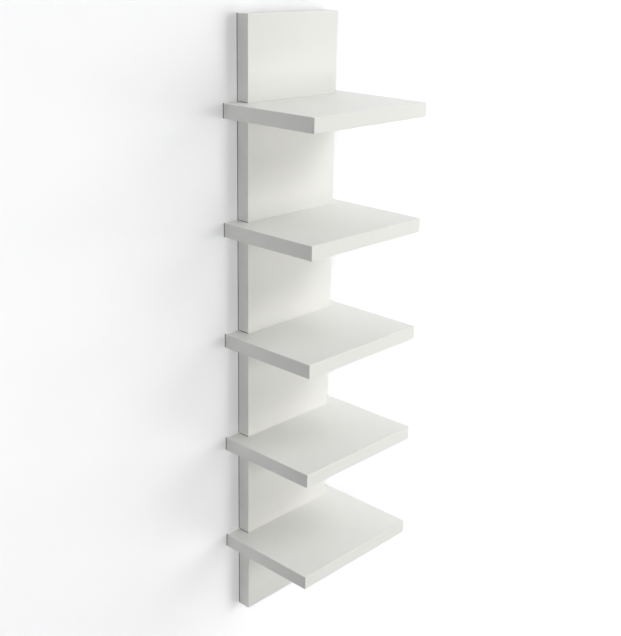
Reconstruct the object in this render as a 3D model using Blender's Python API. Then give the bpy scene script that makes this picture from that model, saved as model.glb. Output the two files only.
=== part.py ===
"""Wall-hung shelf unit: one upright spine board with five shelves notched around it.

Each shelf has a notch in its back edge that seats on the spine, so its two ears reach back to the
wall beside the board. Two countersunk connector screws come through the spine from behind and two
blind dowels keep the shelf level. The unit hangs on four steel keyhole plates, let in flush with
the back of the spine, with a pocket behind each plate for the head of the wall screw.

Metres, +Z up. The origin is the middle of the spine's back face, +Y points into the wall and the
shelf fronts face -Y. Left and right are those of a person who stands in front of the unit.
"""
import math

import bmesh
import bpy
from mathutils import Matrix

# Boards
SPINE_HEIGHT = 1.200
SPINE_WIDTH = 0.232
SPINE_THICKNESS = 0.027
SPINE_END = 0.1525          # free length of spine above the top shelf and below the bottom one
SHELF_COUNT = 5             # evenly spread between the free ends
SHELF_THICKNESS = 0.027
SHELF_DEPTH = 0.220         # from the wall to the shelf's front edge
SHELF_OVERHANG = 0.034      # how far a shelf reaches past each side of the spine
ARRIS_RADIUS = 0.0008       # eased outer edges of the boards

# Fits
SEAT_GAP = 0.0003           # between faces and walls that meet
NOTCH_SIDE_GAP = 0.0006     # between a notch's cheek and the side of the spine

# Connector screws, two to a shelf
SCREW_LENGTH = 0.060
SCREW_HEAD_RADIUS = 0.005
SCREW_HEAD_RIM = 0.0006
SCREW_HEAD_SINK = 0.0004    # how far the head lies below the back of the spine
SCREW_SHANK_RADIUS = 0.0035
SCREW_COLLAR_LENGTH = 0.012
SCREW_CORE_RADIUS = 0.0025
SCREW_TIP_LENGTH = 0.005
SCREW_TIP_RADIUS = 0.0012
SCREW_SOCKET_WIDTH = 0.004  # across the flats of the hexagon
SCREW_SOCKET_DEPTH = 0.0035
SCREW_FROM_DOWEL = 0.032

# Dowels, two to a shelf
DOWEL_LENGTH = 0.036
DOWEL_RADIUS = 0.004
DOWEL_CHAMFER = 0.0008
DOWEL_IN_SPINE = 0.013
DOWEL_FROM_SPINE_SIDE = 0.020

# Keyhole plates, two near each end of the spine
PLATE_HEIGHT = 0.056
PLATE_WIDTH = 0.020
PLATE_THICKNESS = 0.002
PLATE_CORNER_RADIUS = 0.004
PLATE_FROM_SPINE_END = 0.075
PLATE_FROM_SPINE_SIDE = 0.046
KEYHOLE_ENTRY_RADIUS = 0.0055
KEYHOLE_SLOT_WIDTH = 0.0055
KEYHOLE_TRAVEL = 0.016      # from the middle of the entry up to the end of the slot
POCKET_WIDTH = 0.0134
POCKET_DEPTH = 0.008        # room behind the plate for the wall screw's head

# Plate screws, one above and one below each keyhole
PLATE_SCREW_LENGTH = 0.016
PLATE_SCREW_HEAD_RADIUS = 0.0035
PLATE_SCREW_HEAD_SINK = 0.0002
PLATE_SCREW_SHANK_RADIUS = 0.00175
PLATE_SCREW_POINT_LENGTH = 0.004
PLATE_SCREW_POINT_RADIUS = 0.0003
PLATE_SCREW_FROM_END = 0.006

# Fineness of round shapes
ARRIS_STEPS = 3
ARRIS_PROFILE = 0.5         # a quarter circle
ROUND_SIDES = 18
CORNER_STEPS = 4
CUT_OVERRUN = 0.002         # how far a cutter stands out of the face that it enters
MERGE_DISTANCE = 0.000001
SHARP_ANGLE = math.radians(30)

# Places that follow from the sizes above
SHELF_WIDTH = SPINE_WIDTH + 2 * SHELF_OVERHANG
SHELF_PITCH = (SPINE_HEIGHT - 2 * SPINE_END - SHELF_THICKNESS) / (SHELF_COUNT - 1)
NOTCH_DEPTH = SPINE_THICKNESS + SEAT_GAP
DOWEL_X = SPINE_WIDTH / 2 - DOWEL_FROM_SPINE_SIDE
SCREW_X = DOWEL_X - SCREW_FROM_DOWEL
DOWEL_START = SPINE_THICKNESS - DOWEL_IN_SPINE
PLATE_X = SPINE_WIDTH / 2 - PLATE_FROM_SPINE_SIDE
PLATE_Z = SPINE_HEIGHT / 2 - PLATE_FROM_SPINE_END
PLATE_SCREW_Z = PLATE_HEIGHT / 2 - PLATE_SCREW_FROM_END
RECESS_DEPTH = PLATE_THICKNESS + SEAT_GAP

# Turns a piece so that its own +Z runs from the wall to the front and its own +Y runs up
FROM_WALL = Matrix.Rotation(math.pi / 2, 4, 'X')
SIDES = {"left": -1, "right": 1}
ENDS = {"upper": 1, "lower": -1}


def shelf_height(number):
    """Height of a shelf's middle plane; shelf 1 is the lowest."""
    return (number - (SHELF_COUNT + 1) / 2) * SHELF_PITCH


def make_material(name, colour, roughness, metallic=0.0):
    material = bpy.data.materials.new(name)
    material.use_nodes = True
    shader = material.node_tree.nodes["Principled BSDF"]
    shader.inputs["Base Color"].default_value = (*colour, 1.0)
    shader.inputs["Roughness"].default_value = roughness
    shader.inputs["Metallic"].default_value = metallic
    material.diffuse_color = (*colour, 1.0)
    return material


def finish_mesh(bm, name):
    """Turn a bmesh into a mesh datablock with its faces pointing out."""
    bmesh.ops.remove_doubles(bm, verts=bm.verts, dist=MERGE_DISTANCE)
    bmesh.ops.recalc_face_normals(bm, faces=bm.faces)
    mesh = bpy.data.meshes.new(name)
    bm.to_mesh(mesh)
    bm.free()
    return mesh


def extrude_outline(outline, low, high):
    """Bmesh prism over a closed outline of (x, y) points, from height low to height high."""
    bm = bmesh.new()
    base = bm.faces.new([bm.verts.new((x, y, low)) for x, y in outline])
    swept = bmesh.ops.extrude_face_region(bm, geom=[base], use_keep_orig=True)
    top = [item for item in swept["geom"] if isinstance(item, bmesh.types.BMVert)]
    bmesh.ops.translate(bm, verts=top, vec=(0, 0, high - low))
    bmesh.ops.recalc_face_normals(bm, faces=bm.faces)
    return bm


def turn_profile(name, profile):
    """Solid turned about Z from (radius, z) points that start and end on the axis."""
    bm = bmesh.new()
    points = [bm.verts.new((radius, 0, z)) for radius, z in profile]
    lines = [bm.edges.new(pair) for pair in zip(points, points[1:])]
    bmesh.ops.spin(bm, geom=points + lines, cent=(0, 0, 0), axis=(0, 0, 1),
                   angle=2 * math.pi, steps=ROUND_SIDES)
    return finish_mesh(bm, name)


def arc(centre, radius, start, end, steps):
    """Points along an arc, with its angles in degrees counted from +X towards +Y."""
    angles = [math.radians(start + (end - start) * step / steps) for step in range(steps + 1)]
    return [(centre[0] + radius * math.cos(angle), centre[1] + radius * math.sin(angle))
            for angle in angles]


def rounded_rectangle(width, height, radius, steps):
    outline = []
    for quarter, (side_x, side_y) in enumerate([(1, 1), (-1, 1), (-1, -1), (1, -1)]):
        centre = (side_x * (width / 2 - radius), side_y * (height / 2 - radius))
        outline += arc(centre, radius, 90 * quarter, 90 * quarter + 90, steps)
    return outline


def prism_mesh(name, outline, low, high):
    return finish_mesh(extrude_outline(outline, low, high), name)


def cut(name, mesh, cutters):
    """Mesh with holes: the given mesh less each (mesh, placing matrix) in cutters."""
    scene = bpy.context.scene.collection
    body = bpy.data.objects.new(name, mesh)
    scene.objects.link(body)
    tools = bpy.data.collections.new(name + "_cutters")
    scene.children.link(tools)
    for cutter_mesh, place in cutters:
        tool = bpy.data.objects.new("cutter", cutter_mesh)
        tool.matrix_world = place
        tools.objects.link(tool)
    boolean = body.modifiers.new("holes", 'BOOLEAN')
    boolean.operation = 'DIFFERENCE'
    boolean.solver = 'EXACT'
    boolean.operand_type = 'COLLECTION'
    boolean.collection = tools
    graph = bpy.context.evaluated_depsgraph_get()
    result = bpy.data.meshes.new_from_object(body.evaluated_get(graph), depsgraph=graph)
    result.name = name
    for item in [*tools.objects, body]:
        bpy.data.objects.remove(item)
    bpy.data.collections.remove(tools)
    return result


def ease_edges(bm, edges):
    bmesh.ops.bevel(bm, geom=edges, offset=ARRIS_RADIUS, segments=ARRIS_STEPS,
                    profile=ARRIS_PROFILE, affect='EDGES')


def spine_blank():
    """The upright board before drilling, lying with its wall face on its own XY plane."""
    half_width, half_height = SPINE_WIDTH / 2, SPINE_HEIGHT / 2
    outline = [(-half_width, -half_height), (half_width, -half_height),
               (half_width, half_height), (-half_width, half_height)]
    bm = extrude_outline(outline, 0, SPINE_THICKNESS)
    ease_edges(bm, list(bm.edges))
    return finish_mesh(bm, "spine_blank")


def shelf_blank():
    """A shelf before drilling: a board with the notch for the spine in its back edge.

    The outer edges are eased and the sawn edges of the notch stay sharp.
    """
    half_width = SHELF_WIDTH / 2
    cheek = SPINE_WIDTH / 2 + NOTCH_SIDE_GAP
    outline = [(-half_width, -SHELF_DEPTH), (half_width, -SHELF_DEPTH), (half_width, 0),
               (cheek, 0), (cheek, -NOTCH_DEPTH), (-cheek, -NOTCH_DEPTH), (-cheek, 0), (-half_width, 0)]
    bm = extrude_outline(outline, -SHELF_THICKNESS / 2, SHELF_THICKNESS / 2)

    def in_notch(face):
        return all(abs(corner.co.x) < cheek + MERGE_DISTANCE
                   and corner.co.y > -NOTCH_DEPTH - MERGE_DISTANCE for corner in face.verts)

    outer = [edge for edge in bm.edges if not any(in_notch(face) for face in edge.link_faces)]
    ease_edges(bm, outer)
    return finish_mesh(bm, "shelf_blank")


def screw_mesh():
    """Connector screw: countersunk head with a hexagon socket, plain collar, core and blunt tip."""
    head_end = SCREW_HEAD_SINK + SCREW_HEAD_RIM
    cone_end = head_end + SCREW_HEAD_RADIUS - SCREW_SHANK_RADIUS
    collar_end = cone_end + SCREW_COLLAR_LENGTH
    tip = SCREW_HEAD_SINK + SCREW_LENGTH
    solid = turn_profile("screw_blank", [
        (0, SCREW_HEAD_SINK), (SCREW_HEAD_RADIUS, SCREW_HEAD_SINK), (SCREW_HEAD_RADIUS, head_end),
        (SCREW_SHANK_RADIUS, cone_end), (SCREW_SHANK_RADIUS, collar_end),
        (SCREW_CORE_RADIUS, collar_end + SCREW_SHANK_RADIUS - SCREW_CORE_RADIUS),
        (SCREW_CORE_RADIUS, tip - SCREW_TIP_LENGTH), (SCREW_TIP_RADIUS, tip), (0, tip)])
    corner_radius = SCREW_SOCKET_WIDTH / math.sqrt(3)
    hexagon = arc((0, 0), corner_radius, 0, 300, 5)
    socket = prism_mesh("screw_socket", hexagon, SCREW_HEAD_SINK - CUT_OVERRUN,
                        SCREW_HEAD_SINK + SCREW_SOCKET_DEPTH)
    return cut("connector_screw", solid, [(socket, Matrix())])


def screw_hole_in_spine():
    rim = SCREW_HEAD_RADIUS + SEAT_GAP
    bore = SCREW_SHANK_RADIUS + SEAT_GAP
    head_end = SCREW_HEAD_SINK + SCREW_HEAD_RIM
    through = SPINE_THICKNESS + CUT_OVERRUN
    return turn_profile("screw_hole_in_spine", [
        (0, -CUT_OVERRUN), (rim, -CUT_OVERRUN), (rim, head_end),
        (bore, head_end + SCREW_HEAD_RADIUS - SCREW_SHANK_RADIUS), (bore, through), (0, through)])


def plain_hole(name, radius, start, end):
    return turn_profile(name, [(0, start), (radius, start), (radius, end), (0, end)])


def dowel_mesh():
    """Dowel with chamfered ends, placed along the depth from the wall."""
    end = DOWEL_START + DOWEL_LENGTH
    return turn_profile("dowel", [
        (0, DOWEL_START), (DOWEL_RADIUS - DOWEL_CHAMFER, DOWEL_START),
        (DOWEL_RADIUS, DOWEL_START + DOWEL_CHAMFER), (DOWEL_RADIUS, end - DOWEL_CHAMFER),
        (DOWEL_RADIUS - DOWEL_CHAMFER, end), (0, end)])


def keyhole_outline():
    """Round entry below and a slot above it, centred on the plate's middle."""
    entry = (0, -KEYHOLE_TRAVEL / 2)
    slot_end = (0, KEYHOLE_TRAVEL / 2)
    half_slot = KEYHOLE_SLOT_WIDTH / 2
    mouth = math.degrees(math.asin(half_slot / KEYHOLE_ENTRY_RADIUS))
    around_entry = arc(entry, KEYHOLE_ENTRY_RADIUS, 90 + mouth, 450 - mouth, ROUND_SIDES)
    around_slot_end = arc(slot_end, half_slot, 0, 180, 2 * CORNER_STEPS)
    return around_entry + around_slot_end


def plate_screw_hole():
    rim = PLATE_SCREW_HEAD_RADIUS + SEAT_GAP
    bore = PLATE_SCREW_SHANK_RADIUS + SEAT_GAP
    cone_end = PLATE_SCREW_HEAD_SINK + PLATE_SCREW_HEAD_RADIUS - PLATE_SCREW_SHANK_RADIUS
    end = PLATE_SCREW_HEAD_SINK + PLATE_SCREW_LENGTH + SEAT_GAP
    return turn_profile("plate_screw_hole", [
        (0, -CUT_OVERRUN), (rim, -CUT_OVERRUN), (rim, PLATE_SCREW_HEAD_SINK), (bore, cone_end),
        (bore, end), (0, end)])


def plate_mesh(screw_hole):
    """Keyhole plate with two countersunk fixing holes, its wall face on its own XY plane."""
    outline = rounded_rectangle(PLATE_WIDTH, PLATE_HEIGHT, PLATE_CORNER_RADIUS, CORNER_STEPS)
    blank = prism_mesh("plate_blank", outline, 0, PLATE_THICKNESS)
    keyhole = prism_mesh("keyhole", keyhole_outline(), -CUT_OVERRUN, PLATE_THICKNESS + CUT_OVERRUN)
    cutters = [(keyhole, Matrix())]
    for side in (1, -1):
        cutters.append((screw_hole, Matrix.Translation((0, side * PLATE_SCREW_Z, 0))))
    return cut("keyhole_plate", blank, cutters)


def plate_screw_mesh():
    cone_end = PLATE_SCREW_HEAD_SINK + PLATE_SCREW_HEAD_RADIUS - PLATE_SCREW_SHANK_RADIUS
    tip = PLATE_SCREW_HEAD_SINK + PLATE_SCREW_LENGTH
    return turn_profile("plate_screw", [
        (0, PLATE_SCREW_HEAD_SINK), (PLATE_SCREW_HEAD_RADIUS, PLATE_SCREW_HEAD_SINK),
        (PLATE_SCREW_SHANK_RADIUS, cone_end), (PLATE_SCREW_SHANK_RADIUS, tip - PLATE_SCREW_POINT_LENGTH),
        (PLATE_SCREW_POINT_RADIUS, tip), (0, tip)])


def recess_cutters():
    """Shallow bed for a plate, and the pocket behind it for the head of the wall screw."""
    bed = rounded_rectangle(PLATE_WIDTH + 2 * SEAT_GAP, PLATE_HEIGHT + 2 * SEAT_GAP,
                            PLATE_CORNER_RADIUS + SEAT_GAP, CORNER_STEPS)
    pocket = rounded_rectangle(POCKET_WIDTH, KEYHOLE_TRAVEL + POCKET_WIDTH, POCKET_WIDTH / 2, CORNER_STEPS)
    return [prism_mesh("plate_bed", bed, -CUT_OVERRUN, RECESS_DEPTH),
            prism_mesh("head_pocket", pocket, -CUT_OVERRUN, RECESS_DEPTH + POCKET_DEPTH)]


def drilled_spine(screw_hole, plate_screw_hole_cutter):
    """The spine with its screw and dowel holes, plate beds, pockets and pilot holes."""
    dowel_hole = plain_hole("dowel_hole_in_spine", DOWEL_RADIUS + SEAT_GAP, DOWEL_START - SEAT_GAP,
                            SPINE_THICKNESS + CUT_OVERRUN)
    drillings = []
    for number in range(1, SHELF_COUNT + 1):
        for side in SIDES.values():
            height = shelf_height(number)
            drillings.append((screw_hole, Matrix.Translation((side * SCREW_X, height, 0))))
            drillings.append((dowel_hole, Matrix.Translation((side * DOWEL_X, height, 0))))
    drilled = cut("drilled_spine", spine_blank(), drillings)

    beds, pockets, pilots = [], [], []
    bed, pocket = recess_cutters()
    for end in ENDS.values():
        for side in SIDES.values():
            place = Matrix.Translation((side * PLATE_X, end * PLATE_Z, 0))
            beds.append((bed, place))
            pockets.append((pocket, place))
            for step in (1, -1):
                lift = Matrix.Translation((0, step * PLATE_SCREW_Z, 0))
                pilots.append((plate_screw_hole_cutter, place @ lift))
    with_beds = cut("spine_with_beds", drilled, beds)
    with_pockets = cut("spine_with_pockets", with_beds, pockets)
    return cut("spine_board", with_pockets, pilots)


def drilled_shelf():
    """A shelf with the blind holes that its screws and dowels enter from the notch."""
    screw_end = SCREW_HEAD_SINK + SCREW_LENGTH + SEAT_GAP
    dowel_end = DOWEL_START + DOWEL_LENGTH + SEAT_GAP
    start = NOTCH_DEPTH - CUT_OVERRUN
    screw_hole = plain_hole("screw_hole_in_shelf", SCREW_CORE_RADIUS + SEAT_GAP, start, screw_end)
    dowel_hole = plain_hole("dowel_hole_in_shelf", DOWEL_RADIUS + SEAT_GAP, start, dowel_end)
    drillings = []
    for side in SIDES.values():
        drillings.append((screw_hole, Matrix.Translation((side * SCREW_X, 0, 0)) @ FROM_WALL))
        drillings.append((dowel_hole, Matrix.Translation((side * DOWEL_X, 0, 0)) @ FROM_WALL))
    return cut("shelf_board", shelf_blank(), drillings)


def add_piece(name, mesh, material, place, unit):
    """Put one named piece into the unit; round walls are shaded smooth and true edges stay sharp."""
    if not mesh.materials:
        mesh.materials.append(material)
    mesh.shade_smooth()
    mesh.set_sharp_from_angle(angle=SHARP_ANGLE)
    piece = bpy.data.objects.new(name, mesh)
    bpy.context.scene.collection.objects.link(piece)
    piece.parent = unit
    piece.matrix_world = place
    return piece


def build_unit():
    for item in list(bpy.data.objects):
        bpy.data.objects.remove(item, do_unlink=True)

    unit = bpy.data.objects.new("shelf_unit", None)
    bpy.context.scene.collection.objects.link(unit)
    white = make_material("white_satin_board", (0.84, 0.84, 0.82), 0.42)
    zinc = make_material("bright_zinc_screw", (0.66, 0.67, 0.69), 0.32, 1.0)
    steel = make_material("zinc_plated_sheet", (0.60, 0.61, 0.63), 0.38, 1.0)
    beech = make_material("beech_dowel", (0.70, 0.51, 0.33), 0.70)

    plate_hole = plate_screw_hole()
    add_piece("spine_board", drilled_spine(screw_hole_in_spine(), plate_hole), white, FROM_WALL, unit)

    shelf, screw, dowel = drilled_shelf(), screw_mesh(), dowel_mesh()
    for number in range(1, SHELF_COUNT + 1):
        level = Matrix.Translation((0, 0, shelf_height(number)))
        add_piece(f"shelf_{number}", shelf, white, level, unit)
        for side_name, side in SIDES.items():
            screw_place = level @ Matrix.Translation((side * SCREW_X, 0, 0)) @ FROM_WALL
            dowel_place = level @ Matrix.Translation((side * DOWEL_X, 0, 0)) @ FROM_WALL
            add_piece(f"shelf_{number}_screw_{side_name}", screw, zinc, screw_place, unit)
            add_piece(f"shelf_{number}_dowel_{side_name}", dowel, beech, dowel_place, unit)

    plate, plate_screw = plate_mesh(plate_hole), plate_screw_mesh()
    for end_name, end in ENDS.items():
        for side_name, side in SIDES.items():
            corner = f"{end_name}_{side_name}"
            place = Matrix.Translation((side * PLATE_X, 0, end * PLATE_Z))
            add_piece(f"hanger_plate_{corner}", plate, steel, place @ FROM_WALL, unit)
            for step_name, step in (("top", 1), ("bottom", -1)):
                lift = Matrix.Translation((0, 0, step * PLATE_SCREW_Z))
                add_piece(f"hanger_screw_{corner}_{step_name}", plate_screw, zinc,
                          place @ lift @ FROM_WALL, unit)


build_unit()
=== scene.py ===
# %% [markdown]
# # A white wall-hung shelf unit
# One tall board, the spine, carries five shelves that are notched round it. Everything that holds
# the unit together sits inside or behind the boards: screws, dowels and four hanging plates. The
# solids come ready from the frame. This lesson gives every surface its finish, makes the small
# hardware with Geometry Nodes, and sets up a soft studio round the unit.

# %% Load the frame
import math

import bpy
from mathutils import Matrix, Vector


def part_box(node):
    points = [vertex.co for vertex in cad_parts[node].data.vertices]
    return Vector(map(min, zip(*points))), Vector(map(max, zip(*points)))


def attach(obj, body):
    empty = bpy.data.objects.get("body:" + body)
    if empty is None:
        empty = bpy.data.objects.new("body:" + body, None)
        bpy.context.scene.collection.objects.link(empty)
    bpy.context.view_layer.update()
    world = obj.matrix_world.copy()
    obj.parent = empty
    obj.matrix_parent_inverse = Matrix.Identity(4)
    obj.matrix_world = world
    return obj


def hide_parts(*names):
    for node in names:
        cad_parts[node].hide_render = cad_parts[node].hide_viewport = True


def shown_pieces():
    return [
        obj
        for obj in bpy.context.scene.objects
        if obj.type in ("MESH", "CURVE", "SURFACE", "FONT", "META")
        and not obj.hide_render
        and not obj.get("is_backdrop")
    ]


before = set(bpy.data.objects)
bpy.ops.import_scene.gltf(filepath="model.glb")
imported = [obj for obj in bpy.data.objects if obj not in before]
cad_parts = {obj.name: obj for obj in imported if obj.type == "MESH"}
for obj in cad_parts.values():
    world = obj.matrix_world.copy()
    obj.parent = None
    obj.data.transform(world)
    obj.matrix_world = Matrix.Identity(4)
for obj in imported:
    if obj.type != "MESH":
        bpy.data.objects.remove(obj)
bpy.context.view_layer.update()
print("Frame holds", len(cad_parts), "solids")

# %% [markdown]
# ## Sizes from the frame
# A board's thickness or the distance between two shelves is already in the solids. The script reads
# such sizes from the boxes of the nodes, so a change in the frame moves the finish with it. A
# shelf's own name has one underscore, and the names of its fixings have more.

# %% Read the main sizes
SHELF_NODES = [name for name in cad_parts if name.startswith("shelf_") and name.count("_") == 1]


def box_corners(node):
    """The lowest and the highest corner of a node, as vectors."""
    low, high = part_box(node)
    return Vector(low), Vector(high)


spine_low, spine_high = box_corners("spine_board")
shelf_low, shelf_high = box_corners("shelf_1")
second_shelf_low, _ = box_corners("shelf_2")

board_thickness = shelf_high.z - shelf_low.z
shelf_pitch = second_shelf_low.z - shelf_low.z
shelf_half_width = shelf_high.x
shelf_front = shelf_low.y
spine_half_width = spine_high.x
spine_half_height = spine_high.z
spine_front = spine_low.y
top_shelf = max(box_corners(name)[1].z for name in SHELF_NODES) - board_thickness / 2
print(f"Boards {board_thickness:.4f} m thick, shelves {shelf_pitch:.4f} m apart")

# %% [markdown]
# ## Node graphs as Python sums
# Shader and geometry trees are easier to read as formulas than as long lists of links. A `Wire`
# wraps one output socket, and adding or comparing wires adds a Math node. Each operator has its
# reflected form too, so that `1 - mask` works as well as `mask - 1`.

# %% Wrap sockets in operators
class Wire:
    """One output of a node, used like a number: each operator adds a Math node."""

    def __init__(self, graph, socket):
        self.graph = graph
        self.socket = socket

    def math(self, operation, *others):
        return self.graph.node("ShaderNodeMath", {"operation": operation}, [self, *others])

    def __add__(self, other):
        return self.math("ADD", other)

    def __radd__(self, other):
        return self.math("ADD", other)

    def __mul__(self, other):
        return self.math("MULTIPLY", other)

    def __rmul__(self, other):
        return self.math("MULTIPLY", other)

    def __sub__(self, other):
        return self.math("SUBTRACT", other)

    def __rsub__(self, other):
        return self.graph.node("ShaderNodeMath", {"operation": "SUBTRACT"}, [other, self])

    def __truediv__(self, other):
        return self.math("DIVIDE", other)

    def __rtruediv__(self, other):
        return self.graph.node("ShaderNodeMath", {"operation": "DIVIDE"}, [other, self])

    def __lt__(self, other):
        return self.math("LESS_THAN", other)

    def __gt__(self, other):
        return self.math("GREATER_THAN", other)

    def __abs__(self):
        return self.math("ABSOLUTE")

    def least(self, other):
        return self.math("MINIMUM", other)

    def most(self, other):
        return self.math("MAXIMUM", other)


print("Wires add, subtract, multiply, divide and compare")

# %% [markdown]
# ## One way to add a node
# Every other node comes from `Graph.node`, which sets the node's options first and then feeds its
# sockets. A socket is found by its name, or by its number where a node has several of one name: the
# Mix node keeps a set of them for each kind of value, and only those for colours are used here. The
# methods after it are short names for nodes that the finishes share.

# %% Wrap node trees
MIX_FACTOR = 0
MIX_FIRST_COLOUR = 6
MIX_SECOND_COLOUR = 7
MIXED_COLOUR = 2


class Graph:
    """A node tree with one way to add nodes."""

    def __init__(self, tree):
        self.tree = tree

    def feed(self, socket, value):
        """Set a socket to a plain value, or link a wire or each wire of a list to it."""
        for item in value if isinstance(value, list) else [value]:
            if isinstance(item, Wire):
                self.tree.links.new(item.socket, socket)
            else:
                socket.default_value = item

    def node(self, kind, settings=None, sockets=None, output=0):
        """Add a node and return an output, if it has one; items is how many an Index Switch holds."""
        made = self.tree.nodes.new(kind)
        for name, value in (settings or {}).items():
            if name == "items":
                for _ in range(value - len(made.index_switch_items)):
                    made.index_switch_items.new()
            else:
                setattr(made, name, value)
        values = sockets.items() if isinstance(sockets, dict) else enumerate(sockets or [])
        for key, value in values:
            self.feed(made.inputs[key], value)
        return Wire(self, made.outputs[output]) if made.outputs else None

    def split(self, vector):
        """The three parts of a vector as wires."""
        first = self.node("ShaderNodeSeparateXYZ", sockets=[vector])
        return [Wire(self, socket) for socket in first.socket.node.outputs]

    def blend(self, mask, first, second):
        """The first colour where the mask is 0 and the second where it is 1."""
        return self.node("ShaderNodeMix", {"data_type": "RGBA"}, {
            MIX_FACTOR: mask, MIX_FIRST_COLOUR: first, MIX_SECOND_COLOUR: second}, output=MIXED_COLOUR)

    def noise(self, place, scale=1.0, detail=2.0, roughness=0.5):
        return self.node("ShaderNodeTexNoise", sockets={
            "Vector": place, "Scale": scale, "Detail": detail, "Roughness": roughness})

    def stretch(self, place, scale):
        return self.node("ShaderNodeMapping", sockets={"Vector": place, "Scale": scale})

    def relief(self, height, strength, depth):
        """A normal that is tilted as the height rises and falls; the depth is in metres."""
        return self.node("ShaderNodeBump", sockets={
            "Strength": strength, "Distance": depth, "Height": height})

    def dress(self, shader, looks):
        """Feed the named inputs of a shader."""
        for name, value in looks.items():
            self.feed(shader.inputs[name], value)


def new_material(name):
    """A material with its graph, its shader and the Object coordinates as a wire."""
    material = bpy.data.materials.new(name)
    material.use_nodes = True
    graph = Graph(material.node_tree)
    place = graph.node("ShaderNodeTexCoord", output="Object")
    return material, graph, material.node_tree.nodes["Principled BSDF"], place


print("Graphs are ready for shaders and for geometry")

# %% [markdown]
# ## White satin
# The boards are fibreboard under a sprayed white lacquer. Up close the lacquer has a faint orange
# peel, a ripple of two or three millimetres, and its gloss drifts a little from place to place.
# Inside the notches, pockets and drilled holes the brown core shows. Two materials would need the
# solids cut along the edge of the lacquer, and the solids stay as they are. So one material holds
# both, and a mask says where the core is bare. A second mask paints shade: a dark line where a
# shelf meets the spine.

# %% Mix the lacquer and the bare core
LACQUER_TINTS = (0.842, 0.842, 0.821, 1.0), (0.868, 0.868, 0.848, 1.0)
LACQUER_ROUGHNESS = 0.40
LACQUER_IOR = 1.5
DRIFT_PER_METRE = 6.0
DRIFT_ROUGHNESS = 0.05
PEEL_PER_METRE = 420.0
PEEL_ROUGHNESS = 0.015
CORE_TINTS = (0.300, 0.198, 0.115, 1.0), (0.465, 0.335, 0.215, 1.0)
CORE_ROUGHNESS = 0.92
FIBRE_PER_METRE = 1600.0
FIBRE_TO_PEEL_HEIGHT = 10.0
# Painted shade: a dark tint for the shade in the hairline gap where a shelf meets the spine.
JOINT_SHADE_TINT = (0.100, 0.098, 0.094, 1.0)
BOARD_BUMP = 0.12
PEEL_DEPTH = 0.00004


def white_satin(name, find_masks):
    """Lacquer, with the bare core and the painted shade of the joints where the two masks say."""
    material, graph, shader, place = new_material(name)
    core, joint_shade = find_masks(*graph.split(place))
    drift = graph.noise(place, DRIFT_PER_METRE, detail=3.0)
    peel = graph.noise(place, PEEL_PER_METRE, detail=1.0)
    fibre = graph.noise(place, FIBRE_PER_METRE, detail=4.0, roughness=0.7)
    lacquer = graph.blend(drift, *LACQUER_TINTS)
    bare = graph.blend(fibre, *CORE_TINTS)
    satin = LACQUER_ROUGHNESS + DRIFT_ROUGHNESS * drift + PEEL_ROUGHNESS * peel
    height = peel * (1 - core) + FIBRE_TO_PEEL_HEIGHT * fibre * core
    # The second mask paints shade into the colour: a dark line where each shelf meets the spine.
    graph.dress(shader, {
        "Base Color": graph.blend(joint_shade, graph.blend(core, lacquer, bare), JOINT_SHADE_TINT),
        "Roughness": satin + core * (CORE_ROUGHNESS - satin),
        "Normal": graph.relief(height, BOARD_BUMP, PEEL_DEPTH),
        "IOR": LACQUER_IOR})
    return material


print("Satin roughness starts at", LACQUER_ROUGHNESS)

# %% [markdown]
# ## Where the core shows and where shade is painted at the joints
# A point lies in the core if it is deeper than the lacquer's skin, so the masks compare Object
# coordinates with the sizes of the boards. Where a shelf is pushed over the spine, a thin dark line
# of painted shade on the spine's sides stands for the shade in the hairline gap there. The middle
# shelf lies at height 0 and the others a whole number of steps away, so one formula finds all the
# joints.

# %% Give the boards their finish
LACQUER_SKIN = 0.0003
JOINT_SHADE_WIDTH = 0.0009


def from_shelf_middle(z):
    """How far a point is above or below the middle of the nearest shelf."""
    return abs(z - shelf_pitch * (z / shelf_pitch).math("ROUND"))


def spine_masks(x, y, z):
    """The spine's core, and the painted shade of the joints on its sides."""
    half_thickness = -spine_front / 2
    inside = (abs(x) < spine_half_width - LACQUER_SKIN) * (abs(z) < spine_half_height - LACQUER_SKIN)
    inside = inside * (abs(y + half_thickness) < half_thickness - LACQUER_SKIN)
    # A thin band of painted shade on the spine's sides, just past the faces of each shelf.
    on_side = (abs(x) > spine_half_width - LACQUER_SKIN) * (y > spine_front + LACQUER_SKIN)
    near_shelf = from_shelf_middle(z) < board_thickness / 2 + JOINT_SHADE_WIDTH
    between_ends = abs(z) < top_shelf + shelf_pitch / 2
    return inside, on_side * (near_shelf * between_ends)


def shelf_masks(x, y, z):
    """A shelf's core; the painted shade of the joints is all on the spine."""
    inside = (abs(x) < shelf_half_width - LACQUER_SKIN) * (y > shelf_front + LACQUER_SKIN)
    inside = inside * (from_shelf_middle(z) < board_thickness / 2 - LACQUER_SKIN)
    return inside * (y < -LACQUER_SKIN), 0.0


finishes = {"spine_board": white_satin("white satin spine", spine_masks)}
finishes.update(dict.fromkeys(SHELF_NODES, white_satin("white satin shelf", shelf_masks)))
for name, finish in finishes.items():
    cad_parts[name].material_slots[0].material = finish
print("White satin on", len(finishes), "boards")

# %% [markdown]
# ## Bright zinc
# The screws and plates are zinc-plated steel: silver with a faint blue, clouded where the bath left
# the crystals coarser. Fine lines from the rolling of the steel show through the plating. They are
# noise on stretched coordinates, which draws every speck out along one axis.

# %% Mix the zinc
ZINC_TINTS = (0.560, 0.570, 0.590, 1.0), (0.745, 0.750, 0.760, 1.0)
CLOUD_ROUGHNESS = 0.16
ROLLING_PER_METRE = (2600.0, 2600.0, 160.0)
ROLLING_ROUGHNESS = 0.08
ROLLING_BUMP = 0.2
ROLLING_DEPTH = 0.00004


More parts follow.
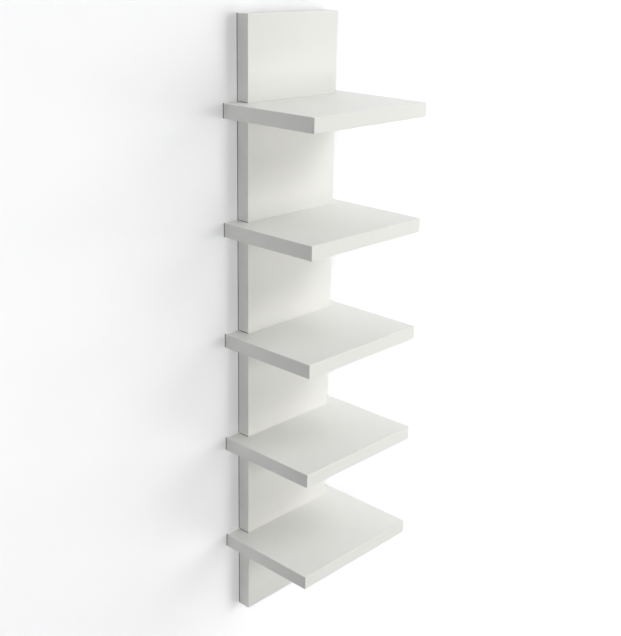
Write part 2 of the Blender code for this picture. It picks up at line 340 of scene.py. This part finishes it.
def zinc(name, clouds_per_metre, roughness):
    material, graph, shader, place = new_material(name)
    clouds = graph.noise(place, clouds_per_metre, detail=5.0, roughness=0.65)
    rolled = graph.noise(graph.stretch(place, ROLLING_PER_METRE))
    graph.dress(shader, {
        "Base Color": graph.blend(clouds, *ZINC_TINTS),
        "Roughness": roughness + CLOUD_ROUGHNESS * clouds + ROLLING_ROUGHNESS * rolled,
        "Normal": graph.relief(rolled, ROLLING_BUMP, ROLLING_DEPTH),
        "Metallic": 1.0})
    return material


zinc_sheet = zinc("bright zinc sheet", clouds_per_metre=240.0, roughness=0.26)
zinc_screw = zinc("bright zinc screw", clouds_per_metre=700.0, roughness=0.20)
print("Zinc finishes:", zinc_sheet.name, "and", zinc_screw.name)

# %% [markdown]
# ## Beech
# The dowels are beech, with grain that runs along the dowel and short dark pores in it. Both are
# stretched noise again. The pores are the peaks of a finer one, cut off at a level.

# %% Mix the beech
BEECH_TINTS = (0.520, 0.318, 0.165, 1.0), (0.715, 0.500, 0.305, 1.0)
BEECH_ROUGHNESS = 0.58
GRAIN_PER_METRE = (1500.0, 70.0, 1500.0)
GRAIN_ROUGHNESS = 0.2
GRAIN_BUMP = 0.3
GRAIN_DEPTH = 0.0001
PORES_PER_METRE = (5200.0, 420.0, 5200.0)
PORE_LEVEL = 0.63
PORE_DARKNESS = 0.45


def beech(name):
    material, graph, shader, place = new_material(name)
    grain = graph.noise(graph.stretch(place, GRAIN_PER_METRE), detail=4.0, roughness=0.6)
    pores = graph.noise(graph.stretch(place, PORES_PER_METRE), detail=1.0) > PORE_LEVEL
    wood = graph.blend(grain, *BEECH_TINTS)
    graph.dress(shader, {
        "Base Color": graph.blend(PORE_DARKNESS * pores, wood, BEECH_TINTS[0]),
        "Roughness": BEECH_ROUGHNESS + GRAIN_ROUGHNESS * grain,
        "Normal": graph.relief(grain - pores, GRAIN_BUMP, GRAIN_DEPTH)})
    return material


beech_wood = beech("beech")
print("Wood finish:", beech_wood.name)

# %% [markdown]
# ## How every geometry tree starts and ends
# The hardware repeats, so each kind of it is one Geometry Nodes tree. A tree takes a mesh of points
# and the sizes of one piece as named inputs. At its end it stands the piece on every point, makes
# the copies real and gives them their finish.

# %% Start and end a tree
def start_tree(name, sizes):
    """A tree with named size inputs; returns its graph, its points and its sizes as wires."""
    tree = bpy.data.node_groups.new(name, "GeometryNodeTree")
    tree.is_modifier = True
    tree.interface.new_socket("Places", in_out="INPUT", socket_type="NodeSocketGeometry")
    for label in sizes:
        tree.interface.new_socket(label, in_out="INPUT", socket_type="NodeSocketFloat")
    tree.interface.new_socket("Pieces", in_out="OUTPUT", socket_type="NodeSocketGeometry")
    graph = Graph(tree)
    points = graph.node("NodeGroupInput")
    size_sockets = points.socket.node.outputs[1:len(sizes) + 1]
    return graph, points, dict(zip(sizes, [Wire(graph, socket) for socket in size_sockets]))


def end_tree(graph, points, piece, twist, material):
    """Stand the piece on every point, make the copies real and give them their finish."""
    copies = graph.node("GeometryNodeInstanceOnPoints", sockets={
        "Points": points, "Instance": piece, "Rotation": twist})
    real = graph.node("GeometryNodeRealizeInstances", sockets=[copies])
    painted = graph.node("GeometryNodeSetMaterial", sockets={"Geometry": real, "Material": material})
    graph.node("NodeGroupOutput", sockets=[painted])
    return graph.tree


print("Trees can start and end")

# %% [markdown]
# ## Turned pieces out of one grid
# A screw or a dowel is turned: its radius changes along its length, and only the drive, the thread
# or the flutes change round it. Spinning a profile would make it equally round everywhere, so here
# a flat grid is rolled up. Its columns become the way round and its rows the way along, and a
# formula for radius and depth gives the whole piece, welded along its seam and closed at both ends.
# Each copy is twisted by a seeded random angle, because nobody drives two screws to the same turn.
# The Random Value node has several sockets of one name too, so its limits are found by number.

# %% Build the tree for turned pieces
WELD_DISTANCE = 0.000001
TWIST_SEED = 7
RANDOM_LEAST = 2
RANDOM_MOST = 3
RANDOM_NUMBER = 1


def weld(graph, geometry):
    """Join the points that lie on each other, which closes seams and poles."""
    return graph.node("GeometryNodeMergeByDistance", sockets={
        "Geometry": geometry, "Distance": WELD_DISTANCE})


def turned_tree(name, sizes, columns, rows, shape, material):
    """A tree whose shape function gives radius and depth from the sizes, the angle and the row."""
    graph, points, size = start_tree(name, sizes)
    sheet = graph.node("GeometryNodeMeshGrid", sockets={
        "Size X": columns, "Size Y": rows - 1, "Vertices X": columns + 1, "Vertices Y": rows})
    across, along, _ = graph.split(graph.node("GeometryNodeInputPosition"))
    angle = (across / columns + 0.5) * math.tau
    row = (along + (rows - 1) / 2).math("ROUND")
    radius, depth = shape(graph, size, angle, row)
    rolled = graph.node("ShaderNodeCombineXYZ", sockets=[
        radius * angle.math("COSINE"), -1 * depth, radius * angle.math("SINE")])
    turned = graph.node("GeometryNodeSetPosition", sockets={"Geometry": sheet, "Position": rolled})
    chance = graph.node("FunctionNodeRandomValue", {"data_type": "FLOAT"}, {
        RANDOM_LEAST: 0.0, RANDOM_MOST: math.tau, "Seed": TWIST_SEED}, output=RANDOM_NUMBER)
    twist = graph.node("ShaderNodeCombineXYZ", sockets=[0.0, chance, 0.0])
    return end_tree(graph, points, weld(graph, turned), twist, material)


def pick(graph, row, values):
    """The value whose number in the list is the row, with the last one for every later row."""
    number = row.least(len(values) - 1)
    return graph.node("GeometryNodeIndexSwitch", {"data_type": "FLOAT", "items": len(values)},
                      [number, *values])


def pick_ring(graph, row, rings):
    """Radius and depth of the ring whose number is the row."""
    return [pick(graph, row, values) for values in zip(*rings)]


print("Turned pieces are twisted with seed", TWIST_SEED)

# %% [markdown]
# ## From a tree to a finished piece
# A tree works on a base mesh that holds one point for each solid it stands for, taken from the
# frame. The evaluated result is copied into a plain mesh and the base is thrown away, so the piece
# that rides on the frame has no modifier left.

# %% Make pieces from trees
SHARP_ANGLE = math.radians(32)
BEVEL_STEPS = 2


def nodes_with(*words):
    return [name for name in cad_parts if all(word in name for word in words)]


def middle(node):
    low, high = box_corners(node)
    return (low + high) / 2


def add_object(name, data):
    made = bpy.data.objects.new(name, data)
    bpy.context.scene.collection.objects.link(made)
    return made


def make_pieces(name, tree, sizes, nodes, bevel=0.0):
    """One mesh with a copy for each node, at the node's place on the back of the spine."""
    base = bpy.data.meshes.new(name + " places")
    base.from_pydata([(middle(node).x, 0.0, middle(node).z) for node in nodes], [], [])
    worker = add_object(name + " worker", base)
    modifier = worker.modifiers.new("tree", "NODES")
    modifier.node_group = tree
    inputs = [item for item in tree.interface.items_tree if item.in_out == "INPUT"]
    for socket in inputs[1:]:
        modifier[socket.identifier] = sizes[socket.name]
    if bevel:
        ease = worker.modifiers.new("eased edges", "BEVEL")
        ease.width = bevel
        ease.segments = BEVEL_STEPS
        ease.limit_method = "ANGLE"
        ease.angle_limit = SHARP_ANGLE
    evaluated = bpy.context.evaluated_depsgraph_get()
    mesh = bpy.data.meshes.new_from_object(worker.evaluated_get(evaluated), depsgraph=evaluated)
    bpy.data.objects.remove(worker)
    bpy.data.meshes.remove(base)
    mesh.name = name
    mesh.shade_smooth()
    mesh.set_sharp_from_angle(angle=SHARP_ANGLE)
    piece = add_object(name, mesh)
    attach(piece, "root")
    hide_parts(*nodes)
    print(f"{name}: {len(nodes)} copies, {len(mesh.polygons)} faces")


print("Screws:", len(nodes_with("shelf", "screw")), "dowels:", len(nodes_with("dowel")))

# %% [markdown]
# ## Threads
# Both kinds of screw share a thread: a ridge that climbs one pitch with every turn, fades in past
# the plain shank, and shrinks with the core towards the point. A ridge swept along a helix would be
# a second skin that cuts through the first. As a part of the radius it keeps the screw one closed
# skin. It is highest where depth divided by pitch, less the turn, is half way between two whole
# numbers.

# %% Write the thread as a formula
RIDGE_HALF_WIDTH = 0.3


def thread(size, angle, along, start, end):
    """Radius and depth on the threaded part, for along from 0 at its start to 1 at the tip."""
    depth = start + along * (end - start)
    phase = (depth / size["Pitch"] - angle / math.tau).math("FRACT")
    ridge = (1 - abs(phase - 0.5) / RIDGE_HALF_WIDTH).most(0.0)
    to_tip = ((end - depth) / size["Tip length"]).least(1.0)
    fade = ((depth - start) / size["Pitch"]).least(1.0)
    core = size["Tip radius"] + (size["Core radius"] - size["Tip radius"]) * to_tip
    return core + (size["Crest radius"] - size["Core radius"]) * ridge * fade * to_tip, depth


def screw_shape(head, thread_rows):
    """Shape of a screw from its head's rings, then its thread, then the last point on the axis."""
    def shape(graph, size, angle, row):
        rings, start, end = head(size, angle)
        head_rows = len(rings)
        along = ((row - head_rows) / (thread_rows - 1)).least(1.0)
        threaded_radius, threaded_depth = thread(size, angle, along, start, end)
        head_radius, head_depth = pick_ring(graph, row, rings)
        on_head = row < head_rows - 0.5
        on_axis = row > head_rows + thread_rows - 0.5
        radius = on_head * head_radius + (1 - on_head) * (1 - on_axis) * threaded_radius
        return radius, on_head * head_depth + (1 - on_head) * threaded_depth
    return shape


print("A thread's ridge takes", 2 * RIDGE_HALF_WIDTH, "of the pitch")

# %% [markdown]
# ## Connector screws
# Two screws to a shelf come through the spine from behind. The head is countersunk and has a
# hexagon socket, so only its ring and the socket show on the back. A hexagon in polar form is half
# its width over the cosine of the angle to the nearest flat.

# %% Turn the connector screws
def turned_sizes(node):
    """How far in from the spine's back a turned node starts, its length and its largest radius."""
    low, high = box_corners(node)
    return -high.y, high.y - low.y, (high.x - low.x) / 2


screw_nodes = nodes_with("shelf", "screw")
screw_sink, screw_length, screw_head_radius = turned_sizes(screw_nodes[0])
screw_sizes = {
    "Sink": screw_sink, "Length": screw_length, "Head radius": screw_head_radius, "Rim": 0.0006,
    "Shank radius": 0.0035, "Collar": 0.012, "Core radius": 0.0021, "Crest radius": 0.00275,
    "Pitch": 0.003, "Tip length": 0.005, "Tip radius": 0.0010,
    "Socket width": 0.004, "Socket depth": 0.0035}
SOCKET_POINT = 0.0006
SHANK_TAPER = 0.001
SCREW_COLUMNS = 24
SCREW_THREAD_ROWS = 170
SCREW_HEAD_ROWS = 10
SIXTH_TURN = math.tau / 6


def connector_head(size, angle):
    """The head's rings from the socket's floor to the core, and the thread's start and end."""
    from_flat = (angle / SIXTH_TURN).math("FRACT") - 0.5
    hexagon = size["Socket width"] / 2 / (from_flat * SIXTH_TURN).math("COSINE")
    top = size["Sink"]
    floor = top + size["Socket depth"]
    ease = size["Rim"] / 3
    cone = top + size["Rim"]
    collar = cone + size["Head radius"] - size["Shank radius"]
    start = collar + size["Collar"] + SHANK_TAPER
    rings = [
        (0.0, floor + SOCKET_POINT), (hexagon, floor), (hexagon, top + ease), (hexagon + ease, top),
        (size["Head radius"] - ease, top), (size["Head radius"], top + ease), (size["Head radius"], cone),
        (size["Shank radius"], collar), (size["Shank radius"], collar + size["Collar"]),
        (size["Core radius"], start)]
    return rings, start, top + size["Length"]


connector_tree = turned_tree("turned connector screw", screw_sizes, SCREW_COLUMNS,
                             SCREW_HEAD_ROWS + SCREW_THREAD_ROWS + 1,
                             screw_shape(connector_head, SCREW_THREAD_ROWS), zinc_screw)
make_pieces("connector_screws", connector_tree, screw_sizes, screw_nodes)

# %% [markdown]
# ## Plate screws
# Each hanging plate is held by two small countersunk wood screws. Their drive is a cross: in polar
# form the nearer of an arm's end and an arm's side. The arms narrow towards the bottom of the drive,
# as the driver's tip does.

# %% Turn the plate screws
plate_screw_nodes = nodes_with("hanger_screw")
small_sink, small_length, small_head_radius = turned_sizes(plate_screw_nodes[0])
plate_screw_sizes = {
    "Sink": small_sink, "Length": small_length, "Head radius": small_head_radius,
    "Shank radius": 0.00175, "Collar": 0.0015, "Core radius": 0.0013, "Crest radius": 0.00195,
    "Pitch": 0.0014, "Tip length": 0.004, "Tip radius": 0.0002,
    "Arm length": 0.0019, "Arm half width": 0.00046, "Drive depth": 0.0016}
RIM_EASE = 0.00012
SMALL_SHANK_TAPER = 0.0005
DRIVE_NARROWING = 0.45
DRIVE_POINT = 0.0004
LEAST_SINE = 0.001
PLATE_SCREW_COLUMNS = 48
PLATE_SCREW_THREAD_ROWS = 96
PLATE_SCREW_HEAD_ROWS = 9
QUARTER_TURN = math.tau / 4


def cross_head(size, angle):
    """The head's rings from the bottom of the cross to the core, and the thread's start and end."""
    from_arm = ((angle / QUARTER_TURN + 0.5).math("FRACT") - 0.5) * QUARTER_TURN
    beside = size["Arm half width"] / abs(from_arm.math("SINE")).most(LEAST_SINE)
    cross = (size["Arm length"] / from_arm.math("COSINE")).least(beside)
    top = size["Sink"]
    floor = top + size["Drive depth"]
    collar = top + RIM_EASE + size["Head radius"] - size["Shank radius"]
    start = collar + size["Collar"] + SMALL_SHANK_TAPER
    rings = [
        (0.0, floor), (DRIVE_NARROWING * cross, floor - DRIVE_POINT), (cross, top + RIM_EASE),
        (cross + RIM_EASE, top), (size["Head radius"] - RIM_EASE, top),
        (size["Head radius"], top + RIM_EASE), (size["Shank radius"], collar),
        (size["Shank radius"], collar + size["Collar"]), (size["Core radius"], start)]
    return rings, start, top + size["Length"]


plate_screw_tree = turned_tree("turned plate screw", plate_screw_sizes, PLATE_SCREW_COLUMNS,
                               PLATE_SCREW_HEAD_ROWS + PLATE_SCREW_THREAD_ROWS + 1,
                               screw_shape(cross_head, PLATE_SCREW_THREAD_ROWS), zinc_screw)
make_pieces("plate_screws", plate_screw_tree, plate_screw_sizes, plate_screw_nodes)

# %% [markdown]
# ## Dowels
# Two fluted beech dowels keep each shelf level. The flutes let the glue and the air past. They are
# a cosine round the dowel, and the ends are chamfered so that the dowel finds its hole.

# %% Turn the dowels
dowel_nodes = nodes_with("dowel")
dowel_start, dowel_length, dowel_radius = turned_sizes(dowel_nodes[0])
dowel_sizes = {
    "Start": dowel_start, "Length": dowel_length, "Radius": dowel_radius,
    "Chamfer": 0.0008, "Flute depth": 0.00028}
DOWEL_COLUMNS = 80
DOWEL_FLUTES = 20
DOWEL_ROWS = 6


def dowel_shape(graph, size, angle, row):
    flute = size["Flute depth"] * (0.5 - 0.5 * (angle * DOWEL_FLUTES).math("COSINE"))
    wall = size["Radius"] - flute
    end = size["Radius"] - size["Chamfer"]
    front = size["Start"] + size["Length"]
    rings = [
        (0.0, size["Start"]), (end, size["Start"]), (wall, size["Start"] + size["Chamfer"]),
        (wall, front - size["Chamfer"]), (end, front), (0.0, front)]
    return pick_ring(graph, row, rings)


dowel_tree = turned_tree("turned dowel", dowel_sizes, DOWEL_COLUMNS, DOWEL_ROWS, dowel_shape, beech_wood)
make_pieces("dowels", dowel_tree, dowel_sizes, dowel_nodes)

# %% [markdown]
# ## Keyhole plates
# The unit hangs on four plates punched from steel sheet. The tree works as the press does: it cuts
# a blank with rounded corners, punches the round entry and the slot above it, and countersinks two
# screw holes. A small bevel rolls the edges over, as punching does.

# %% Punch the keyhole plates
plate_nodes = nodes_with("hanger_plate")
plate_low, plate_high = box_corners(plate_nodes[0])
lower_screw, upper_screw = sorted(middle(name).z for name in plate_screw_nodes
                                  if name.startswith(plate_nodes[0].replace("plate", "screw")))
plate_sizes = {
    "Width": plate_high.x - plate_low.x, "Height": plate_high.z - plate_low.z,
    "Thickness": plate_high.y - plate_low.y, "Corner radius": 0.004, "Entry radius": 0.0055,
    "Slot width": 0.0055, "Travel": 0.016, "Screw spacing": upper_screw - lower_screw,
    "Countersink radius": 0.004}
PLATE_EDGE = 0.0002
ROUND_SIDES = 64
CORNER_STEPS = 8
SLOT_END_STEPS = 16
CUT_OVERRUN = 0.001


def plate_tree(name, sizes, material):
    """A tree that cuts a plate lying flat, punches it and stands it upright."""
    graph, points, size = start_tree(name, sizes)

    def moved(geometry, across, up, out):
        shift = graph.node("ShaderNodeCombineXYZ", sockets=[across, up, out])
        return graph.node("GeometryNodeTransform", sockets={"Geometry": geometry, "Translation": shift})

    def punch(outline, overrun):
        """A solid over a closed outline, through the sheet and a little past it on both sides."""
        face = graph.node("GeometryNodeFillCurve", {"mode": "NGONS"}, [outline])
        grown = graph.node("GeometryNodeExtrudeMesh", sockets={
            "Mesh": face, "Offset Scale": size["Thickness"] + 2 * overrun, "Individual": False})
        under = graph.node("GeometryNodeFlipFaces", sockets=[face])
        solid = graph.node("GeometryNodeJoinGeometry", sockets=[[grown, under]])
        return moved(weld(graph, solid), 0.0, 0.0, -overrun)

    def rounded(width, height, radius, steps):
        outline = graph.node("GeometryNodeCurvePrimitiveQuadrilateral", sockets={
            "Width": width, "Height": height})
        return graph.node("GeometryNodeFilletCurve", {"mode": "POLY"}, {
            "Curve": outline, "Count": steps, "Radius": radius, "Limit Radius": True})

    blank = punch(rounded(size["Width"], size["Height"], size["Corner radius"], CORNER_STEPS), 0.0)
    entry = punch(graph.node("GeometryNodeCurvePrimitiveCircle", sockets={
        "Resolution": ROUND_SIDES, "Radius": size["Entry radius"]}), CUT_OVERRUN)
    slot_length = size["Travel"] + size["Slot width"]
    slot = punch(rounded(size["Slot width"], slot_length, size["Slot width"] / 2, SLOT_END_STEPS),
                 CUT_OVERRUN)
    sink = graph.node("GeometryNodeMeshCone", sockets={
        "Vertices": ROUND_SIDES, "Radius Bottom": size["Countersink radius"] + CUT_OVERRUN,
        "Radius Top": size["Countersink radius"] - size["Thickness"] - CUT_OVERRUN,
        "Depth": size["Thickness"] + 2 * CUT_OVERRUN})
    cutters = [slot, moved(entry, 0.0, size["Travel"] / -2, 0.0)]
    cutters += [moved(sink, 0.0, side * size["Screw spacing"], -CUT_OVERRUN) for side in (0.5, -0.5)]
    punched = graph.node("GeometryNodeMeshBoolean", {"operation": "DIFFERENCE", "solver": "EXACT"},
                         {"Mesh 1": blank, "Mesh 2": cutters})
    upright = graph.node("GeometryNodeTransform", sockets={
        "Geometry": punched, "Rotation": (math.pi / 2, 0.0, 0.0)})
    return end_tree(graph, points, upright, (0.0, 0.0, 0.0), material)


punched_plate = plate_tree("punched keyhole plate", plate_sizes, zinc_sheet)
make_pieces("keyhole_plates", punched_plate, plate_sizes, plate_nodes, bevel=PLATE_EDGE)

# %% [markdown]
# ## Studio paints
# The unit hangs on a pale wall over a pale floor. The paints are a little cloudy, as rolled paint
# is. The wall is painted on its front only: seen from behind it lets the eye through, so that the
# back of the unit can be looked at too.

# %% Mix the studio paints
PALE_TINTS = (0.855, 0.855, 0.855, 1.0), (0.885, 0.885, 0.885, 1.0)
# Near black. On the wall's card it is painted shade for the gap behind the boards' upright edges; on the
# flag, which the camera never sees, it only keeps light off.
SHADE_CARD_AND_FLAG_TINTS = (0.060, 0.060, 0.060, 1.0), (0.090, 0.090, 0.090, 1.0)
WALL_ROUGHNESS = 0.5
FLOOR_ROUGHNESS = 0.8
CARD_ROUGHNESS = 0.9
PAINT_CLOUDS_PER_METRE = 3.0


def paint(name, tints, roughness, see_through_back):
    material, graph, shader, place = new_material(name)
    clouds = graph.noise(place, PAINT_CLOUDS_PER_METRE)
    graph.dress(shader, {"Base Color": graph.blend(clouds, *tints), "Roughness": roughness})
    if see_through_back:
        behind = graph.node("ShaderNodeNewGeometry", output="Backfacing")
        clear = graph.node("ShaderNodeBsdfTransparent")
        front = Wire(graph, shader.outputs[0])
        seen = graph.node("ShaderNodeMixShader", sockets=[behind, front, clear])
        graph.feed(material.node_tree.nodes["Material Output"].inputs["Surface"], seen)
    return material


wall_paint = paint("pale wall", PALE_TINTS, WALL_ROUGHNESS, see_through_back=True)
# The card's near-black paint is painted shade for the gap behind the unit.
shade_card_paint = paint("painted shade card", SHADE_CARD_AND_FLAG_TINTS, CARD_ROUGHNESS, see_through_back=True)
floor_paint = paint("pale floor", PALE_TINTS, FLOOR_ROUGHNESS, see_through_back=False)
flag_paint = paint("black flag", SHADE_CARD_AND_FLAG_TINTS, CARD_ROUGHNESS, see_through_back=False)
print("Paints:", wall_paint.name, shade_card_paint.name, floor_paint.name, flag_paint.name)

# %% [markdown]
# ## The wall
# The wall stands a hair behind the unit's back. Behind each board it has an opening that the board
# hides from the front, so that the back of the unit gets light and reflections. A narrow card
# behind the upright edges is painted shade: its near-black paint makes the gap there look dark. All
# of it comes from one grid, cut along the outlines of the boards: a cell is wall, card of painted
# shade or opening.

# %% Set up the wall
WALL_GAP = 0.0015
SHADE_CARD_WIDTH = 0.003
WALL_HALF_WIDTH = 3.5
FLOOR_LEVEL = -2.0
CEILING_LEVEL = 2.5
X_AXIS = 0
Z_AXIS = 2
board_boxes = [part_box(name) for name in finishes]


def behind_a_board(x, z, inset_x, inset_z):
    """Whether a spot on the wall is behind a board, and the insets or more from its outline."""
    return any(low[X_AXIS] + inset_x < x < high[X_AXIS] - inset_x
               and low[Z_AXIS] + inset_z < z < high[Z_AXIS] - inset_z
               for low, high in board_boxes)


def cut_lines(axis, outer):
    """Where the grid is cut: at its own edges, at the boards' edges, and a card's width inside them."""
    lines = set(outer)
    for low, high in board_boxes:
        lines |= {low[axis], low[axis] + SHADE_CARD_WIDTH, high[axis] - SHADE_CARD_WIDTH, high[axis]}
    return sorted(lines)


def studio_sheet(name, corners, faces, *materials):
    mesh = bpy.data.meshes.new(name)
    mesh.from_pydata(corners, [], faces)
    for material in materials:
        mesh.materials.append(material)
    sheet = add_object(name, mesh)
    sheet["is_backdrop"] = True
    return sheet


columns = cut_lines(X_AXIS, (-WALL_HALF_WIDTH, WALL_HALF_WIDTH))
rows = cut_lines(Z_AXIS, (FLOOR_LEVEL, CEILING_LEVEL))
wall_cells = []
on_shade_card = []
for row in range(len(rows) - 1):
    for column in range(len(columns) - 1):
        x = (columns[column] + columns[column + 1]) / 2
        z = (rows[row] + rows[row + 1]) / 2
        if not behind_a_board(x, z, SHADE_CARD_WIDTH, SHADE_CARD_WIDTH):
            first = row * len(columns) + column
            wall_cells.append((first, first + 1, first + 1 + len(columns), first + len(columns)))
            # A cell on the card carries painted shade.
            on_shade_card.append(behind_a_board(x, z, 0.0, 0.0) and not behind_a_board(x, z, SHADE_CARD_WIDTH, 0.0))
wall = studio_sheet("studio_wall", [(x, WALL_GAP, z) for z in rows for x in columns], wall_cells,
                    wall_paint, shade_card_paint)
wall.data.polygons.foreach_set("material_index", [int(card) for card in on_shade_card])
print("Wall:", len(wall_cells), "cells,", sum(on_shade_card), "of card")

# %% [markdown]
# ## The floor and the flag
# The floor is one plain sheet. A black flag stands out of sight on the left and keeps the light of
# the far wall off the unit's left sides, which would look too pale without it.

# %% Set up the floor and the flag
FLOOR_HALF_WIDTH = 5.0
FLAG_PLACE = -0.75
FLAG_DEPTH = 1.6
FLAG_HALF_HEIGHT = 1.4
ONE_FACE = [(0, 1, 3, 2)]

floor_reach = (-FLOOR_HALF_WIDTH, FLOOR_HALF_WIDTH)
floor = studio_sheet("studio_floor", [(x, y, FLOOR_LEVEL) for y in floor_reach for x in floor_reach],
                     ONE_FACE, floor_paint)
flag_heights = (-FLAG_HALF_HEIGHT, FLAG_HALF_HEIGHT)
flag = studio_sheet("studio_flag", [(FLAG_PLACE, y, z) for z in flag_heights for y in (0.0, -FLAG_DEPTH)],
                    ONE_FACE, flag_paint)
flag.visible_camera = False
print("Stage:", wall.name, floor.name, flag.name)

# %% [markdown]
# ## Softboxes
# White boards on a white wall are told apart only by how the light falls off, so the lights are
# large, like the softboxes of a studio. A light's direction is given as azimuth, to the right of
# straight in front, and elevation. Light linking keeps the wall's lights off the unit and the
# unit's lights off the wall, but the unit still casts its shadows in the wash.

# %% Make a softbox
UNIT_MIDDLE = Vector((0.0, -0.1, 0.0))


def group_of(name, members):
    group = bpy.data.collections.new(name)
    for member in members:
        group.objects.link(member)
    return group


def softbox(name, azimuth, elevation, distance, size, watts, tint, lights, shaded_by=None):
    """A light of a width and height that faces the unit and lights one group of objects."""
    data = bpy.data.lights.new(name, "AREA")
    data.shape = "RECTANGLE"
    data.size, data.size_y = size
    data.energy = watts
    data.color = tint
    lamp = add_object(name, data)
    sideways = Matrix.Rotation(math.radians(azimuth), 4, "Z")
    upwards = Matrix.Rotation(math.radians(90 - elevation), 4, "X")
    outwards = Matrix.Translation((0.0, 0.0, distance))
    lamp.matrix_world = Matrix.Translation(UNIT_MIDDLE) @ (sideways @ upwards) @ outwards
    lamp.visible_camera = False
    lamp.light_linking.receiver_collection = lights
    lamp.light_linking.blocker_collection = shaded_by
    return lamp


wall_group = group_of("wall alone", [wall])
unit_group = group_of("unit alone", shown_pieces())
unit_and_floor = group_of("unit and floor", [*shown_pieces(), floor])

# %% [markdown]
# ## Light
# One softbox in front and one high on the right do most of the work. Two weak ones, low on the
# right and on the left, fill, and four more wash the wall alone. One weak, narrow light shines on
# the back through the openings. The lamps lean to warm on the front and to cool on the wall.

# %% Place the lights
WARM = (1.0, 0.99, 0.94)
NEUTRAL = (1.0, 1.0, 0.985)
COOL = (0.985, 0.987, 1.0)
SOFTBOX_DISTANCE = 2.6
WASH_DISTANCE = 3.0
BACK_LIGHT_DISTANCE = 2.0
BACK_LIGHT_SPREAD = math.radians(20)

softbox("front softbox", azimuth=0, elevation=5, distance=SOFTBOX_DISTANCE, size=(1.0, 1.0),
        watts=26.2, tint=WARM, lights=unit_and_floor)
softbox("upper right softbox", azimuth=45, elevation=40, distance=SOFTBOX_DISTANCE, size=(1.2, 1.2),
        watts=26.6, tint=NEUTRAL, lights=unit_and_floor)
softbox("low right softbox", azimuth=47, elevation=-19, distance=SOFTBOX_DISTANCE, size=(1.4, 1.4),
        watts=2.85, tint=NEUTRAL, lights=unit_and_floor)
softbox("left softbox", azimuth=-78, elevation=20, distance=SOFTBOX_DISTANCE, size=(1.4, 1.4),
        watts=2.6, tint=NEUTRAL, lights=unit_group, shaded_by=unit_group)
for side, azimuth, elevation, size, watts in (
        ("below", 47, -19, (2.0, 3.6), 46.4), ("the right", 60, 12, (2.4, 2.4), 62.6),
        ("the left", -60, 20, (1.6, 1.6), 36.1), ("the far left", -75, 0, (1.6, 1.6), 55.5)):
    softbox("wall wash from " + side, azimuth, elevation, WASH_DISTANCE, size, watts, COOL,
            lights=wall_group, shaded_by=unit_group)
back_light = softbox("light on the back", azimuth=180, elevation=0, distance=BACK_LIGHT_DISTANCE,
                     size=(1.6, 1.6), watts=1.0, tint=NEUTRAL, lights=unit_group, shaded_by=unit_group)
back_light.data.spread = BACK_LIGHT_SPREAD
print("Lights:", [item.name for item in bpy.data.lights])

# %% [markdown]
# ## Room light
# An even light from above fills what the softboxes leave. Behind the wall, and wherever the camera
# looks past the studio, the room is a pale backdrop.

# %% Set up the world
ROOM_LIGHT = 0.39
BACKDROP = 0.82
WHITE = (1.0, 1.0, 1.0, 1.0)

world = bpy.data.worlds.new("pale room")
world.use_nodes = True
room = Graph(world.node_tree)
seen = room.node("ShaderNodeLightPath", output="Is Camera Ray")
_, backwards, up = room.split(room.node("ShaderNodeTexCoord", output="Generated"))
from_above = ROOM_LIGHT * (up > 0.0)
backdrop = BACKDROP * seen.most(backwards > 0.0)
room.dress(world.node_tree.nodes["Background"], {"Color": WHITE, "Strength": from_above.most(backdrop)})
bpy.context.scene.world = world
bpy.context.scene.view_settings.view_transform = "Standard"
print("Room light", ROOM_LIGHT, "and backdrop", BACKDROP)

# %% [markdown]
# ## Camera
# The camera stands in front of the unit on its left, a little higher than its top, and looks down
# at it. Its place and turn were worked out from the directions of the board edges.

# %% Set up the camera
CAMERA_PLACE = (-1.3988, -1.3825, 0.6988)
CAMERA_YAW = math.radians(47.0514)
CAMERA_PITCH = math.radians(-19.2698)
CAMERA_ROLL = math.radians(1.145)
CAMERA_LENS_MM = 58.944
CAMERA_SENSOR_MM = 36.0

camera_data = bpy.data.cameras.new("camera")
camera_data.lens = CAMERA_LENS_MM
camera_data.sensor_width = CAMERA_SENSOR_MM
camera = add_object("camera", camera_data)
turn = (Matrix.Rotation(-CAMERA_YAW, 4, "Z") @ Matrix.Rotation(math.pi / 2 + CAMERA_PITCH, 4, "X")
        @ Matrix.Rotation(CAMERA_ROLL, 4, "Z"))
camera.matrix_world = Matrix.Translation(CAMERA_PLACE) @ turn
bpy.context.scene.camera = camera
print("Camera at", CAMERA_PLACE)
